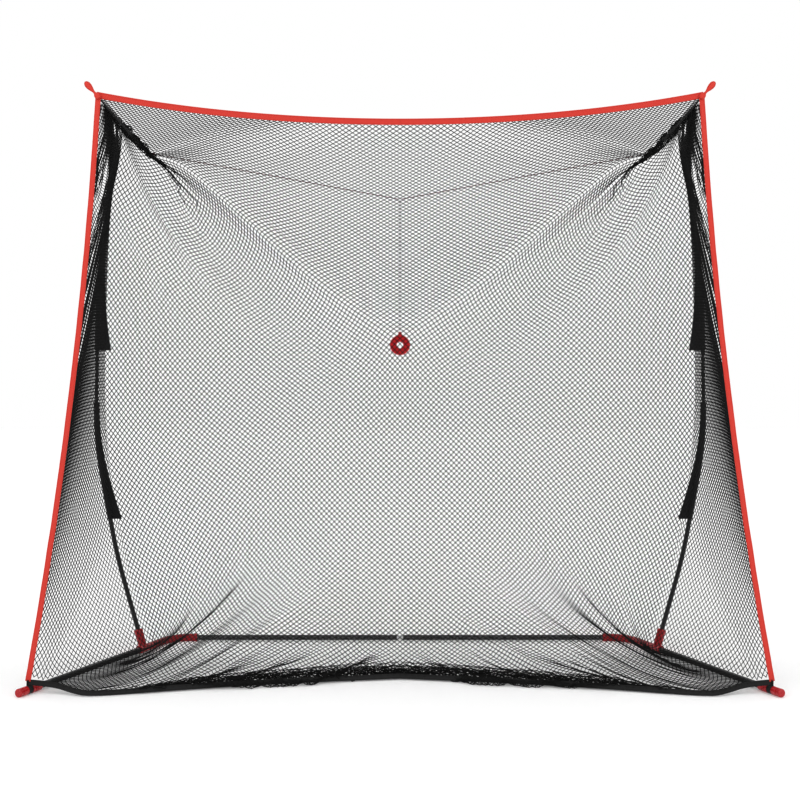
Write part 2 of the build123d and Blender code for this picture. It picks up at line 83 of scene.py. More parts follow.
# ---- view and light ----
CAMERA_DISTANCE = 4.44   # from the feet
CAMERA_HEIGHT = 1.19
CHEST = (0, 0, 1.0)      # what the lamps are aimed at
DISPLAY_GAMMA = 0.74     # under 1 it deepens the middle tones
FLOOR_GLOW = 0.19        # brings the floor's tone near to the surround's

# ---- netting ----
TWINE_R = 0.0017
KNOT_R = 0.0029
MESH_SIDE = 0.019        # knot to knot
COLS, ROWS = 112, 132    # diamonds across and down the one sheet that is roof and back
BAND_KNOTS = 36          # knots of the thread that the corner band is sewn along
CUTS = {"net_roof": (0, 60), "net_back_upper": (60, 160), "net_back_lower": (160, 2 * ROWS)}
SIDE_COLS, SIDE_ROWS = 28, 90
SIDE_BULGE = 0.13        # how far the side net hangs in from the straight line between trim and pole
GRAVITY = 0.000004       # fall in one step of the relaxation
SPRING = 0.04            # how far each knot is drawn to the middle of its four neighbours in one step
PUSH = 0.12              # how far a thread resists being pushed shorter, against being pulled longer
UNEVEN = 0.0015          # how far knots start out of place
RELAXATION = ((4, 200), (2, 200), (1, 120))     # every fourth thread, every second, all; and steps of each
SPEED_KEPT = 0.9         # share of its speed that a knot keeps from step to step
PULLS = 2                # how often every thread is pulled back to its length in one step
GROUND_CLEARANCE = 0.004
PILE_COLS, PILE_ROWS = 38, 14
PILE_END = 0.72          # share of the hem, from its middle, that the spare netting lies along
PILE_STEP = 0.0135       # cloth between one half row of knots and the next
PILE_FOLD = 0.062        # depth of one fold
PILE_HEIGHT = 0.042      # of the last layer over the first
PILE_DRIFT = 0.0045      # how unevenly the folds turn
PILE_UNEVEN = 0.0022     # how far knots lie out of place

# ---- cords ----
CORD_R = 0.0015
DROP_CORD_R = 0.00125
CORD_LAY = 0.012         # length of one turn of the strands
CORD_STEP = 0.003        # between one ring of points and the next
CORD_FACING = np.array([0.13, -1.0, 0.21])      # along no cord, so that it can set where a section starts
CORD_TIE = BAND_END + (-0.006, 0.014, 0.0)
RING_REACH = 0.0095      # from the ring's middle to where a cord starts
KNOT_TURNS = 3.5
KNOT_COIL_R = 0.0040
KNOT_LENGTH = 0.012

# ---- webbing: width, thickness, and how far out of line it ripples ----
TRIM_BAND = (0.0255, 0.0030, 0.0004)
CORNER_BAND = (0.021, 0.0028, 0.0006)
FRONT_HEM_BAND = (0.022, 0.0034, 0.0007)
SIDE_HEM_BAND = (0.020, 0.0026, 0.0008)

# ---- stitches: where their rows lie across the band, and how far out of its middle ----
TRIM_ROWS = ((-0.0085, 0.0085), 0.0015)
CORNER_ROWS = ((-0.005, 0.005), 0.0015)
FRONT_HEM_ROWS = ((-0.007, 0.007), 0.0017)
SIDE_HEM_ROWS = ((0.0,), 0.0013)
LOOP_ROWS = ((0.0,), 0.0004)
STITCH_PITCH = 0.006
STITCH_HALF_LENGTH = 0.0019
STITCH_HALF_WIDTH = 0.0006


# ============================== lights, floor and camera ==============================
def make_camera():
    """Level, in front of the mouth, at chest height."""
    data = bpy.data.cameras.new("camera")
    data.lens = 50
    data.sensor_width = 36
    data.clip_end = 100
    camera = bpy.data.objects.new("camera", data)
    camera.location = (0, FEET_Y - CAMERA_DISTANCE, CAMERA_HEIGHT)
    camera.rotation_euler = (math.radians(90), 0, 0)
    bpy.context.collection.objects.link(camera)
    bpy.context.scene.camera = camera


def area_light(name, place, aim, size, power):
    data = bpy.data.lights.new(name, "AREA")
    data.size = size
    data.energy = power
    light = bpy.data.objects.new(name, data)
    light.location = place
    light.rotation_euler = (Vector(aim) - Vector(place)).to_track_quat("-Z", "Y").to_euler()
    bpy.context.collection.objects.link(light)


def make_studio():
    """A pale floor without an edge in sight, an even white surround and two large soft lights."""
    world = bpy.data.worlds.new("white_surround")
    world.use_nodes = True
    background = world.node_tree.nodes["Background"]
    background.inputs["Color"].default_value = (1.0, 1.0, 1.0, 1.0)
    background.inputs["Strength"].default_value = 1.0
    bpy.context.scene.world = world
    bpy.context.scene.view_settings.view_transform = "Standard"
    bpy.context.scene.view_settings.gamma = DISPLAY_GAMMA
    area_light("key", place=(-2.6, -4.2, 4.4), aim=CHEST, size=3.0, power=60)
    area_light("fill", place=(3.0, -3.6, 2.6), aim=CHEST, size=3.0, power=30)
    bpy.ops.mesh.primitive_plane_add(size=60, location=(0, 10, 0))
    floor = bpy.context.object
    floor.name = "floor"
    floor.data.materials.append(plain_floor())


# ============================== material helpers ==============================
def new_group(name, inputs, outputs):
    """A shader node group with named sockets. Returns the tree and its two ends."""
    tree = bpy.data.node_groups.new(name, "ShaderNodeTree")
    for socket, kind, value in inputs:
        made = tree.interface.new_socket(name=socket, in_out="INPUT", socket_type=kind)
        made.default_value = value
    for socket, kind in outputs:
        tree.interface.new_socket(name=socket, in_out="OUTPUT", socket_type=kind)
    return tree, tree.nodes.new("NodeGroupInput"), tree.nodes.new("NodeGroupOutput")


def math_node(tree, operation, a, b=None):
    """One operation on numbers or sockets."""
    node = tree.nodes.new("ShaderNodeMath")
    node.operation = operation
    for socket, value in zip(node.inputs, (a, b)):
        if value is None:
            continue
        if isinstance(value, (int, float)):
            socket.default_value = value
        else:
            tree.links.new(value, socket)
    return node.outputs[0]


def noise(tree, scale, detail, vector):
    node = tree.nodes.new("ShaderNodeTexNoise")
    node.inputs["Detail"].default_value = detail
    tree.links.new(vector, node.inputs["Vector"])
    tree.links.new(scale, node.inputs["Scale"])
    return node.outputs["Fac"]


def object_coordinates(tree):
    return tree.nodes.new("ShaderNodeTexCoord").outputs["Object"]


def weave_group():
    """Crossing ribs of woven tape, as a height from 0 to 1."""
    tree, ends, out = new_group(
        "woven_ribs",
        [("Pitch", "NodeSocketFloat", 1400.0)],
        [("Height", "NodeSocketFloat")])
    place = tree.nodes.new("ShaderNodeSeparateXYZ")
    tree.links.new(object_coordinates(tree), place.inputs[0])
    across = math_node(tree, "ADD", place.outputs["X"], place.outputs["Y"])
    up = math_node(tree, "ADD", place.outputs["Z"], math_node(tree, "MULTIPLY", place.outputs["Y"], 0.5))
    ribs = []
    for slant in ("ADD", "SUBTRACT"):
        value = math_node(tree, slant, across, up)
        ribs.append(math_node(tree, "SINE", math_node(tree, "MULTIPLY", value, ends.outputs["Pitch"])))
    product = math_node(tree, "MULTIPLY", *ribs)
    height = math_node(tree, "ADD", math_node(tree, "MULTIPLY", product, 0.5), 0.5)
    tree.links.new(height, out.inputs["Height"])
    return tree


def mottle_group():
    """Slow and fine variation in tone, for dust, fading and uneven dye."""
    tree, ends, out = new_group(
        "mottle",
        [("Scale", "NodeSocketFloat", 6.0), ("Fine Scale", "NodeSocketFloat", 90.0)],
        [("Slow", "NodeSocketFloat"), ("Fine", "NodeSocketFloat")])
    where = object_coordinates(tree)
    tree.links.new(noise(tree, ends.outputs["Scale"], 3.0, where), out.inputs["Slow"])
    tree.links.new(noise(tree, ends.outputs["Fine Scale"], 4.0, where), out.inputs["Fine"])
    return tree


def wear_group():
    """Edge wear: a mask that grows on sharp convex edges, broken up by noise."""
    tree, ends, out = new_group(
        "edge_wear",
        [("Amount", "NodeSocketFloat", 0.5), ("Scale", "NodeSocketFloat", 60.0)],
        [("Mask", "NodeSocketFloat")])
    point = tree.nodes.new("ShaderNodeNewGeometry").outputs["Pointiness"]
    edge = tree.nodes.new("ShaderNodeMapRange")
    edge.inputs["From Min"].default_value = 0.52
    edge.inputs["From Max"].default_value = 0.62
    tree.links.new(point, edge.inputs["Value"])
    grain = noise(tree, ends.outputs["Scale"], 5.0, object_coordinates(tree))
    broken = math_node(tree, "MULTIPLY", edge.outputs[0], math_node(tree, "GREATER_THAN", grain, 0.48))
    tree.links.new(math_node(tree, "MULTIPLY", broken, ends.outputs["Amount"]), out.inputs["Mask"])
    return tree


GROUPS = {"weave": weave_group(), "mottle": mottle_group(), "wear": wear_group()}


def place_group(tree, name, **values):
    """One of the groups above, with its own values. An underscore stands for a space."""
    node = tree.nodes.new("ShaderNodeGroup")
    node.node_tree = GROUPS[name]
    for socket, value in values.items():
        node.inputs[socket.replace("_", " ")].default_value = value
    return node


def mix_colours(tree, mask, low, high):
    """From low, where the mask is 0, to high, where it is 1. Each is a colour or a socket."""
    node = tree.nodes.new("ShaderNodeMix")
    node.data_type = "RGBA"
    tree.links.new(mask, node.inputs["Factor"])
    for socket, value in ((node.inputs[6], low), (node.inputs[7], high)):
        if isinstance(value, tuple):
            socket.default_value = (*value, 1.0)
        else:
            tree.links.new(value, socket)
    return node.outputs[2]


def spread(tree, value, low, high):
    """The value, usually 0 to 1, as a range from low to high."""
    node = tree.nodes.new("ShaderNodeMapRange")
    node.inputs["To Min"].default_value = low
    node.inputs["To Max"].default_value = high
    tree.links.new(value, node.inputs["Value"])
    return node.outputs[0]


def bump(tree, height, strength, distance):
    """A normal from a height."""
    node = tree.nodes.new("ShaderNodeBump")
    node.inputs["Strength"].default_value = strength
    node.inputs["Distance"].default_value = distance
    tree.links.new(height, node.inputs["Height"])
    return node.outputs["Normal"]


def start_material(name, **sockets):
    """A material, its tree and its Principled shader, with these values set."""
    material = bpy.data.materials.new(name)
    material.use_nodes = True
    tree = material.node_tree
    shader = tree.nodes["Principled BSDF"]
    for socket, value in sockets.items():
        shader.inputs[socket.replace("_", " ")].default_value = value
    return material, tree, shader


# ============================== materials ==============================
def plain_floor():
    material, tree, shader = start_material("pale_floor", Roughness=0.9, Emission_Strength=FLOOR_GLOW)
    shader.inputs["Emission Color"].default_value = (1.0, 1.0, 1.0, 1.0)
    tone = place_group(tree, "mottle", Scale=1.5, Fine_Scale=20.0)
    colour = mix_colours(tree, tone.outputs["Slow"], (0.80, 0.80, 0.80), (0.84, 0.84, 0.84))
    tree.links.new(colour, shader.inputs["Base Color"])
    return material


def woven_tape(name, dark, light, pitch, sheen):
    """Polyester tape: crossing ribs in relief, with painted shade in the grooves and a painted highlight on
    the crowns, and a soft sheen.
    """
    material, tree, shader = start_material(name, Sheen_Weight=sheen, Sheen_Roughness=0.4)
    weave = place_group(tree, "weave", Pitch=pitch)
    tone = place_group(tree, "mottle", Scale=9.0, Fine_Scale=260.0)
    # colour runs from dark in the grooves to light on the crowns (painted shade and painted highlight), times
    # a fine mottle of uneven dye
    groove_shade_and_mottle = math_node(tree, "MULTIPLY", weave.outputs["Height"], spread(tree, tone.outputs["Fine"], 0.6, 1.3))
    tree.links.new(mix_colours(tree, groove_shade_and_mottle, dark, light), shader.inputs["Base Color"])
    tree.links.new(spread(tree, tone.outputs["Slow"], 0.55, 0.8), shader.inputs["Roughness"])
    tree.links.new(bump(tree, weave.outputs["Height"], 0.6, 0.0004), shader.inputs["Normal"])
    return material


def moulded_plastic(name, dark, light, rough_low, rough_high, coat):
    """Moulded plastic with a faint flow mottle, worn paler on its edges."""
    material, tree, shader = start_material(name, Coat_Weight=coat, Coat_Roughness=0.12)
    tone = place_group(tree, "mottle", Scale=14.0, Fine_Scale=420.0)
    wear = place_group(tree, "wear", Amount=0.35, Scale=120.0)
    body = mix_colours(tree, tone.outputs["Slow"], dark, light)
    pale = tuple(min(1.0, c * 1.5 + 0.08) for c in light)
    tree.links.new(mix_colours(tree, wear.outputs["Mask"], body, pale), shader.inputs["Base Color"])
    tree.links.new(spread(tree, tone.outputs["Fine"], rough_low, rough_high), shader.inputs["Roughness"])
    tree.links.new(bump(tree, tone.outputs["Fine"], 0.08, 0.0003), shader.inputs["Normal"])
    return material


def powder_coat():
    """Black powder coat on steel tube: fine orange peel and a few scuffs."""
    material, tree, shader = start_material("black_powder_coat", Specular_IOR_Level=0.5)
    tone = place_group(tree, "mottle", Scale=8.0, Fine_Scale=900.0)
    wear = place_group(tree, "wear", Amount=0.6, Scale=200.0)
    body = mix_colours(tree, tone.outputs["Slow"], (0.010, 0.010, 0.011), (0.022, 0.022, 0.023))
    colour = mix_colours(tree, wear.outputs["Mask"], body, (0.20, 0.20, 0.20))
    tree.links.new(colour, shader.inputs["Base Color"])
    tree.links.new(spread(tree, tone.outputs["Slow"], 0.32, 0.5), shader.inputs["Roughness"])
    tree.links.new(bump(tree, tone.outputs["Fine"], 0.18, 0.0002), shader.inputs["Normal"])
    return material


def bare_metal(name, tint, rough_low, rough_high):
    """Drawn metal with fine streaks along its length."""
    material, tree, shader = start_material(name, Metallic=1.0)
    tone = place_group(tree, "mottle", Scale=30.0, Fine_Scale=1500.0)
    darker = tuple(c * 0.8 for c in tint)
    tree.links.new(mix_colours(tree, tone.outputs["Fine"], darker, tint), shader.inputs["Base Color"])
    tree.links.new(spread(tree, tone.outputs["Fine"], rough_low, rough_high), shader.inputs["Roughness"])
    tree.links.new(bump(tree, tone.outputs["Fine"], 0.1, 0.0001), shader.inputs["Normal"])
    return material


def twisted_twine(name, dark, light, rough):
    """Twisted or braided yarn: slanting strands in relief, with painted shade between the strands in its
    colour.
    """
    material, tree, shader = start_material(name, Roughness=rough, Specular_IOR_Level=0.25)
    weave = place_group(tree, "weave", Pitch=3600.0)
    tone = place_group(tree, "mottle", Scale=5.0, Fine_Scale=300.0)
    # colour runs from dark between the strands to light on them (painted shade and painted highlight), times
    # a slow mottle of tone
    groove_shade_and_mottle = math_node(tree, "MULTIPLY", weave.outputs["Height"], tone.outputs["Slow"])
    tree.links.new(mix_colours(tree, groove_shade_and_mottle, dark, light), shader.inputs["Base Color"])
    tree.links.new(bump(tree, weave.outputs["Height"], 0.5, 0.0003), shader.inputs["Normal"])
    return material


# for each material slot: a name, its dark and light tone, then its own values; on twine and woven tape the
# dark tone is painted shade in the grooves and the light tone a painted highlight on the crowns
MATERIALS = {
    "netting": twisted_twine("black_net_twine", (0.010, 0.010, 0.010), (0.035, 0.035, 0.035), rough=0.75),
    "elastic_cord": twisted_twine("elastic_cord", (0.02, 0.02, 0.02), (0.08, 0.08, 0.08), rough=0.8),
    "red_cord": twisted_twine("dark_red_cord", (0.09, 0.001, 0.004), (0.20, 0.005, 0.010), rough=0.7),
    "red_thread": twisted_twine("red_sewing_thread", (0.34, 0.018, 0.012), (0.55, 0.045, 0.03), rough=0.6),
    "black_thread": twisted_twine(
        "black_sewing_thread", (0.006, 0.006, 0.006), (0.05, 0.05, 0.05), rough=0.6),
    "red_webbing": woven_tape(
        "red_webbing", (0.48, 0.044, 0.030), (0.76, 0.092, 0.066), pitch=1500.0, sheen=0.05),
    "black_webbing": woven_tape(
        "black_webbing", (0.006, 0.006, 0.006), (0.024, 0.024, 0.024), pitch=1500.0, sheen=0.2),
    "sleeve_fabric": woven_tape(
        "black_sleeve_cloth", (0.005, 0.005, 0.006), (0.020, 0.020, 0.022), pitch=2600.0, sheen=0.2),
    "red_plastic": moulded_plastic(
        "red_moulding", (0.36, 0.010, 0.018), (0.50, 0.018, 0.026),
        rough_low=0.18, rough_high=0.34, coat=0.5),
    "black_plastic": moulded_plastic(
        "black_moulding", (0.012, 0.012, 0.012), (0.03, 0.03, 0.03),
        rough_low=0.4, rough_high=0.6, coat=0.0),
    "black_fibreglass": moulded_plastic(
        "pole_fibreglass", (0.010, 0.010, 0.011), (0.026, 0.026, 0.028),
        rough_low=0.25, rough_high=0.4, coat=0.3),
    "target_rubber": moulded_plastic(
        "red_target_foam", (0.58, 0.012, 0.020), (0.74, 0.028, 0.036),
        rough_low=0.5, rough_high=0.7, coat=0.0),
    "black_steel": powder_coat(),
    "bright_steel": bare_metal("bare_steel", (0.82, 0.82, 0.83), rough_low=0.22, rough_high=0.4),
    "button_steel": bare_metal("plated_button", (0.85, 0.85, 0.86), rough_low=0.08, rough_high=0.18),
    "spring_steel": bare_metal("spring_steel", (0.45, 0.45, 0.48), rough_low=0.3, rough_high=0.5),
}


def dress_cad_nodes():
    """Every carried-over CAD node takes the material of its slot."""
    for part in frame["record"]["subparts"]:
        mesh = NODES[part["node"]].data
        mesh.materials.clear()
        mesh.materials.append(MATERIALS[part["material_slot"]])


# ============================== mesh helpers ==============================
def new_mesh(name, vertices, quads, slot, triangles=None):
    """A smooth mesh object from arrays of points, four-cornered faces and three-cornered faces."""
    mesh = bpy.data.meshes.new(name)
    vertices = np.ascontiguousarray(vertices, dtype=np.float32).reshape(-1, 3)
    quads = np.ascontiguousarray(quads, dtype=np.int32).reshape(-1, 4)
    corners, starts = quads.ravel(), np.arange(0, quads.size, 4, dtype=np.int32)
    if triangles is not None:
        triangles = np.ascontiguousarray(triangles, dtype=np.int32).reshape(-1, 3)
        starts = np.concatenate([starts, quads.size + np.arange(0, triangles.size, 3, dtype=np.int32)])
        corners = np.concatenate([corners, triangles.ravel()])
    mesh.vertices.add(len(vertices))
    mesh.vertices.foreach_set("co", vertices.ravel())
    mesh.loops.add(corners.size)
    mesh.loops.foreach_set("vertex_index", corners.astype(np.int32))
    mesh.polygons.add(len(starts))
    mesh.polygons.foreach_set("loop_start", starts.astype(np.int32))
    mesh.polygons.foreach_set("use_smooth", np.ones(len(starts), dtype=bool))
    mesh.update(calc_edges=True)
    mesh.validate()
    mesh.materials.append(MATERIALS[slot])
    piece = bpy.data.objects.new(name, mesh)
    bpy.context.collection.objects.link(piece)
    return piece


def unit(v):
    """The same directions, one long."""
    return v / np.maximum(np.linalg.norm(v, axis=-1, keepdims=True), 1e-12)


def bead_mesh(centres, long, wide, tall, base=0):
    """Eight-sided beads on three half axes each: knots and stitches."""
    corners = np.stack([centres + long, centres + wide, centres - long, centres - wide,
                        centres + tall, centres - tall], axis=1)
    start = base + 6 * np.arange(len(centres))
    faces = [np.stack([start + k, start + (k + 1) % 4, start + 4], axis=1) for k in range(4)]
    faces += [np.stack([start + (k + 1) % 4, start + k, start + 5], axis=1) for k in range(4)]
    return corners.reshape(-1, 3), np.concatenate(faces)


def directions(path, facing):
    """Along, across and out of a band that follows a path and faces one way."""
    ahead = unit(np.gradient(path, axis=0))
    across = unit(np.cross(ahead, facing))
    return ahead, across, unit(np.cross(across, ahead))


def loft(name, rings, slot):
    """A closed smooth skin over rings of points, (rings, points, 3), with its ends closed."""
    count, sides = rings.shape[:2]
    i, j = np.meshgrid(np.arange(count - 1), np.arange(sides), indexing="ij")
    n = (j + 1) % sides
    quads = np.stack([i * sides + j, i * sides + n, (i + 1) * sides + n, (i + 1) * sides + j], axis=-1)
    vertices = np.concatenate([rings.reshape(-1, 3), [rings[0].mean(axis=0), rings[-1].mean(axis=0)]])
    k = np.arange(sides)
    first, last = count * sides, count * sides + 1
    ends = np.concatenate([np.stack([(k + 1) % sides, k, np.full(sides, first)], axis=1),
                           np.stack([k, (k + 1) % sides, np.full(sides, last - (count - 1) * sides)], axis=1)
                           + (count - 1) * sides])
    return new_mesh(name, vertices, quads, slot, ends)


# a woven band's section: half widths and half thicknesses, with a raised selvedge at each edge
BAND_SECTION = np.array([(1.0, 0.3), (0.96, 1.0), (0.86, 1.25), (0.74, 0.95), (0.35, 0.85), (0.0, 0.88),
                         (-0.35, 0.85), (-0.74, 0.95), (-0.86, 1.25), (-0.96, 1.0), (-1.0, 0.3)])
BAND_SECTION = np.concatenate([BAND_SECTION, BAND_SECTION[::-1] * (1, -1)])


def band(name, path, facing, size, slot, seed, narrow=None):
    """Webbing along a path, rippled where the net pulls at it. Returns its middle line too."""
    width, thick, ripple = size
    ahead, across, out = directions(path, facing)
    random = np.random.default_rng(seed)
    wave = np.convolve(random.normal(0, 1, len(path) + 8), np.ones(9) / 3, mode="valid")[:, None] * ripple
    half = np.full(len(path), width / 2) if narrow is None else narrow * width / 2
    middle = path + out * wave
    rings = (middle[:, None] + across[:, None] * (BAND_SECTION[None, :, :1] * half[:, None, None])
             + out[:, None] * (BAND_SECTION[None, :, 1:] * thick / 2))
    return loft(name, rings, slot), middle


def stitching(name, path, facing, rows, slot, pitch=STITCH_PITCH, long=STITCH_HALF_LENGTH):
    """Rows of lock stitches on both faces of a band, sunk a little into it."""
    offsets, lift = rows
    steps = np.linalg.norm(np.diff(path, axis=0), axis=1).sum()
    places = along(path, np.linspace(0.004, 0.996, max(4, int(steps / pitch))))
    ahead, across, out = directions(places, facing)
    lines = [(places + across * offset + out * (lift * face)) for offset in offsets for face in (1, -1)]
    long_way, wide_way, tall_way = (np.tile(way, (len(lines), 1)) for way in (ahead, across, out))
    corners, faces = bead_mesh(np.concatenate(lines), long_way * long, wide_way * STITCH_HALF_WIDTH,
                               tall_way * STITCH_HALF_WIDTH)
    return new_mesh(name, corners, np.zeros((0, 4)), slot, faces)


def along(points, shares):
    """Points at these shares of a polyline's length."""
    points = np.array(points)
    steps = np.linalg.norm(np.diff(points, axis=0), axis=1)
    reach = np.concatenate([[0], np.cumsum(steps)]) / steps.sum()
    return np.stack([np.interp(shares, reach, points[:, k]) for k in range(3)], axis=-1)


def rounded(points, count=160):
    """A quadratic B-spline that starts and ends at the polyline's ends and rounds its corners."""
    points = np.array(points)
    spans = len(points) - 2
    knots = np.concatenate([[0, 0], np.arange(spans + 1), [spans, spans]]).astype(float)
    out = []
    for t in np.linspace(0, spans, count):
        k = min(int(t), spans - 1)
        a, b, c = points[k], points[k + 1], points[k + 2]
        lo, mid, hi, top = knots[k + 1], knots[k + 2], knots[k + 3], knots[k + 4]
        ab = a + (b - a) * ((t - lo) / (hi - lo))
        bc = b + (c - b) * ((t - mid) / (top - mid))
        out.append(ab + (bc - ab) * ((t - mid) / (hi - mid)))
    return np.array(out)


# ============================== the lines the net is sewn to ==============================
TRIM_SAG = 0.095         # of the top trim's middle below its corners
TRIM_BOW = 0.028         # and behind them
SIDE_TRIM_BOW = np.array([-0.031, 0.019, 0.0])


def top_line(shares):
    """Along the top trim from the middle (0) to the corner (1): it sags, and bows back a little."""
    x = CORNER[0] * shares
    sag = TRIM_SAG * (1 - shares ** 2)
    lift = -0.002 + 0.009 * shares ** 4
    return np.stack([x, CORNER[1] + TRIM_BOW * (1 - shares ** 2), CORNER[2] + lift - sag], axis=-1)


def trim_line(shares):
    """Along a side trim from the foot (0) to the corner (1), bowed inward and back."""
    straight = TRIM_FOOT + (CORNER - TRIM_FOOT) * shares[:, None]
    bow = 4 * shares * (1 - shares)
    return straight + bow[:, None] * SIDE_TRIM_BOW


# how far the seam between back and side hangs inside the pole, from its top bend down
SEAM_IN = np.array([(-0.034, -0.050, 0.0), (-0.066, -0.100, 0.0), (-0.066, -0.100, 0.0),
                    (-0.044, -0.050, 0.0)])
REAR_SEAM = rounded([CORNER + (-0.012, 0.030, -0.014), at(1.300, 0.640, 2.480), at(1.322, 0.845, 2.496),
                     at(1.335, 0.895, 2.440), at(1.352, 0.905, 2.330)] + list(POLE[4:0:-1] + SEAM_IN)
                    + [at(1.166, 0.770, 0.045)])
BAND_HEEL = 0.165        # share of the seam that lies along the pole's top, before it turns down
RAIL_EDGE = at(1.430, 0.108, 0.034)

# the sheet's middle, from the top trim over the back and down to the hem: depth and height
CENTRE_LINE = rounded([at(0, depth, z) for depth, z in (
    (0.232, 2.350), (0.400, 2.270), (0.540, 2.192), (0.680, 2.100), (0.800, 1.980), (0.885, 1.830),
    (0.930, 1.660), (0.952, 1.470), (0.960, 1.270), (0.955, 1.070), (0.930, 0.850), (0.870, 0.640),
    (0.780, 0.440), (0.665, 0.260), (0.545, 0.110), (0.430, 0.050), (0.330, 0.060), (0.330, 0.025),
    (0.420, 0.020), (0.400, 0.012), (0.286, 0.020))])


def hem_line(shares):
    """Along the hem from the middle (0) out to the foot (1)."""
    half = [at(0, HEM_CENTRE_DEPTH, 0.020), at(0.24, 0.247, 0.020), at(0.59, 0.180, 0.020),
            at(0.92, 0.096, 0.020), at(1.24, 0.008, 0.016), at(1.32, 0.034, 0.024),
            at(1.40, 0.058, 0.044), at(1.503, 0.057, 0.052)]
    return along(rounded(half), shares)


# ============================== relaxing the lattices ==============================
def project_diagonals(p, free, rest, slack):
    """Pull each thread of both diagonal families back to its length. It resists a push only a little."""
    for shift in (1, -1):
        for start in (0, 1):
            low = p[start:-1:2]
            high = p[start + 1::2]
            a = low[:, :-1] if shift == 1 else low[:, 1:]
            b = high[:, 1:] if shift == 1 else high[:, :-1]
            fa = free[start:-1:2]
            fb = free[start + 1::2]
            fa = fa[:, :-1] if shift == 1 else fa[:, 1:]
            fb = fb[:, 1:] if shift == 1 else fb[:, :-1]
            gap = b - a
            length = np.sqrt((gap * gap).sum(-1))
            excess = (length - rest) / np.maximum(length, 1e-9)
            excess = np.where(excess > 0, excess, excess * slack)
            pull = gap * (excess / np.maximum(fa + fb, 1.0))[..., None]
            a += pull * fa[..., None]
            b -= pull * fb[..., None]


def relax(p, pinned, rest, steps, gravity, push):
    """Let a lattice settle: gravity, threads pulled back to their length, pinned edges and the ground."""
    free = np.where(pinned, 0.0, 1.0)
    held = p[pinned].copy()
    previous = p.copy()
    for _ in range(steps):
        speed = (p - previous) * SPEED_KEPT
        previous = p.copy()
        p = p + speed * free[..., None]
        p[..., 2] -= gravity * free
        neighbours = (p[:-2, :-2] + p[2:, 2:] + p[:-2, 2:] + p[2:, :-2]) / 4
        p[1:-1, 1:-1] += (neighbours - p[1:-1, 1:-1]) * SPRING * free[1:-1, 1:-1, None]
        for _ in range(PULLS):
            project_diagonals(p, free, rest, push)
        np.maximum(p[..., 2], GROUND_CLEARANCE, out=p[..., 2])
        p[pinned] = held
    return p


def finer(p):
    """The same lattice with twice the knots each way."""
    rows, cols = p.shape[:2]
    out = np.zeros((2 * rows - 1, 2 * cols - 1, 3))
    out[::2, ::2] = p
    out[1::2, ::2] = (p[1:] + p[:-1]) / 2
    out[:, 1::2] = (out[:, 2::2] + out[:, :-2:2]) / 2
    return out


def coons(top, bottom, first, last):
    """A first guess between four edges."""
    rows, cols = len(first), len(top)
    v = np.linspace(0, 1, rows)[:, None, None]
    u = np.linspace(0, 1, cols)[None, :, None]
    ruled = (1 - v) * top[None] + v * bottom[None] + (1 - u) * first[:, None] + u * last[:, None]
    corners = ((1 - u) * (1 - v) * top[0] + u * (1 - v) * top[-1]
               + (1 - u) * v * bottom[0] + u * v * bottom[-1])
    return ruled - corners


def hung_in(top, bottom, first, last):
    """A first guess for a side net: between its edges, hanging in towards the middle."""
    rows, cols = len(first), len(top)
    v, u = np.linspace(0, 1, rows)[:, None, None], np.linspace(0, 1, cols)[None, :, None]
    hang = np.sin(np.pi * np.clip(v * 1.25 - 0.18, 0, 1)) * np.sin(np.pi * u ** 1.3)
    return coons(top, bottom, first, last) - hang * np.array([SIDE_BULGE, 0.0, 0.0])


def settle(edges, guess, rows, cols, seed, sewn=None):
    """Relax a panel from coarse to fine. edges gives its four sewn edges, sewn its other fixed threads."""
    random = np.random.default_rng(seed)
    p = None
    for level, count in RELAXATION:
        n_rows, n_cols = 2 * rows // level + 1, 2 * cols // level + 1
        top, bottom, first, last = edges(n_rows, n_cols)
        p = guess(top, bottom, first, last) if p is None else finer(p)
        p += random.normal(0, UNEVEN * level, p.shape)
        p[0], p[-1], p[:, 0], p[:, -1] = top, bottom, first, last
        pinned = np.zeros(p.shape[:2], dtype=bool)
        pinned[0] = pinned[-1] = True
        pinned[:, 0] = pinned[:, -1] = True
        if sewn:
            sewn(p, pinned, level)
        p = relax(p, pinned, MESH_SIDE * level, count, GRAVITY * level, PUSH)
    return p


def tensioned(top, bottom, first, last):
    """A first guess for roof and back: the centre line below, drawn out to the poles."""
    rows, cols = len(first), len(top)
    v = np.linspace(0, 1, rows)
    centre = along(CENTRE_LINE, v * (0.84 + 0.16 * v))
    u = np.linspace(-1, 1, cols)[None, :, None]
    spread_out = np.abs(u) ** 2.0
    across = np.where(u > 0, last[:, None], first[:, None])
    p = centre[:, None] * (1 - spread_out) + across * spread_out
    wide = np.linspace(0, 1, rows)[:, None]
    s = np.abs(u[..., 0])
    bunched = stretched_middle(s) * (1 - wide) + (1.12 * s - 0.12 * s ** 2) * wide
    p[..., 0] = last[:, None, 0] * bunched * np.sign(u[..., 0])
    return p


def both_ways(line, n, bunch):
    """A symmetric edge from the left end to the right one, its knots placed by bunch."""
    u = np.linspace(-1, 1, n)
    points = line(bunch(np.abs(u)))
    points[:, 0] *= np.sign(u)
    return points


def stretched_middle(s):
    """The net is spread wide in the middle of the trim and bunched towards its ends."""
    return 1.32 * s - 0.32 * s ** 2


def main_edges(n_rows, n_cols):
    """Top trim, hem, and the two seams down the poles and along the base."""
    top = both_ways(lambda s: top_line(s * 0.99), n_cols, stretched_middle) + np.array([0.0, 0.004, -0.010])
    bottom = both_ways(hem_line, n_cols, lambda s: s * 0.955)
    edge = np.concatenate([REAR_SEAM, [RAIL_EDGE, hem_line(np.array([0.955]))[0]]])
    side = along(edge, np.linspace(0, 1, n_rows))
    side[0] = top[-1]
    return top, bottom, side * MIRROR, side


